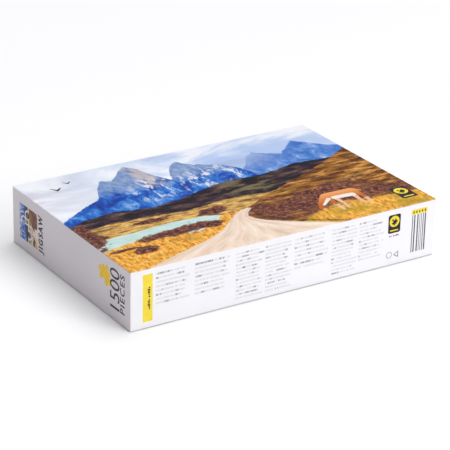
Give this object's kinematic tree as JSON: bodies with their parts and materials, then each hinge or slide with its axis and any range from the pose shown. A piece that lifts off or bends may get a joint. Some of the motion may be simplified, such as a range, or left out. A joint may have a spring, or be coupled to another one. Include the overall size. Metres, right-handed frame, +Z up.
{
  "type": "boxed jigsaw puzzle",
  "caption": "Cardboard box with a full-depth lift-off lid over a tray, holding a clear film pouch of loose die-cut jigsaw pieces.",
  "frame": {"origin": "middle of the tray's underside", "axes": "+X along the long side, +Y from the front side to the back side, +Z up through the lid"},
  "size_m": [0.4, 0.27, 0.07],
  "materials": {
    "greyboard": "raw grey fibre board",
    "lid_print": "printed paper under satin film lamination",
    "tray_paper": "plain white paper, matt",
    "stay_tape": "kraft paper tape",
    "pouch_film": "clear glossy film",
    "piece_picture": "printed picture side, satin",
    "piece_back": "plain grey-blue back, matt"
  },
  "bodies": {
    "tray": {"base_board": "greyboard", "base_corner_stay_back_left": "stay_tape", "base_corner_stay_back_right": "stay_tape", "base_corner_stay_front_left": "stay_tape", "base_corner_stay_front_right": "stay_tape", "base_wrap": "tray_paper"},
    "lid": {"lid_board": "greyboard", "lid_corner_stay_back_left": "stay_tape", "lid_corner_stay_back_right": "stay_tape", "lid_corner_stay_front_left": "stay_tape", "lid_corner_stay_front_right": "stay_tape", "lid_wrap": "lid_print"},
    "pouch": {"bag": "pouch_film", "corner_pieces_back_up": "piece_back", "corner_pieces_picture_up": "piece_picture", "edge_pieces_back_up": "piece_back", "edge_pieces_picture_up": "piece_picture", "inner_pieces_0_knobs_back_up": "piece_back", "inner_pieces_0_knobs_picture_up": "piece_picture", "inner_pieces_1_knobs_back_up": "piece_back", "inner_pieces_1_knobs_picture_up": "piece_picture", "inner_pieces_2_knobs_back_up": "piece_back", "inner_pieces_2_knobs_picture_up": "piece_picture", "inner_pieces_3_knobs_back_up": "piece_back", "inner_pieces_3_knobs_picture_up": "piece_picture", "inner_pieces_4_knobs_back_up": "piece_back", "inner_pieces_4_knobs_picture_up": "piece_picture"}
  },
  "joints": [
    {"name": "lid_lift", "type": "slide", "parent": "tray", "child": "lid", "axis": [0, 0, 1], "range_m": [0, 0.15]},
    {"name": "bag_lift", "type": "slide", "parent": "tray", "child": "pouch", "axis": [0, 0, 1], "range_m": [0, 0.015]}
  ]
}
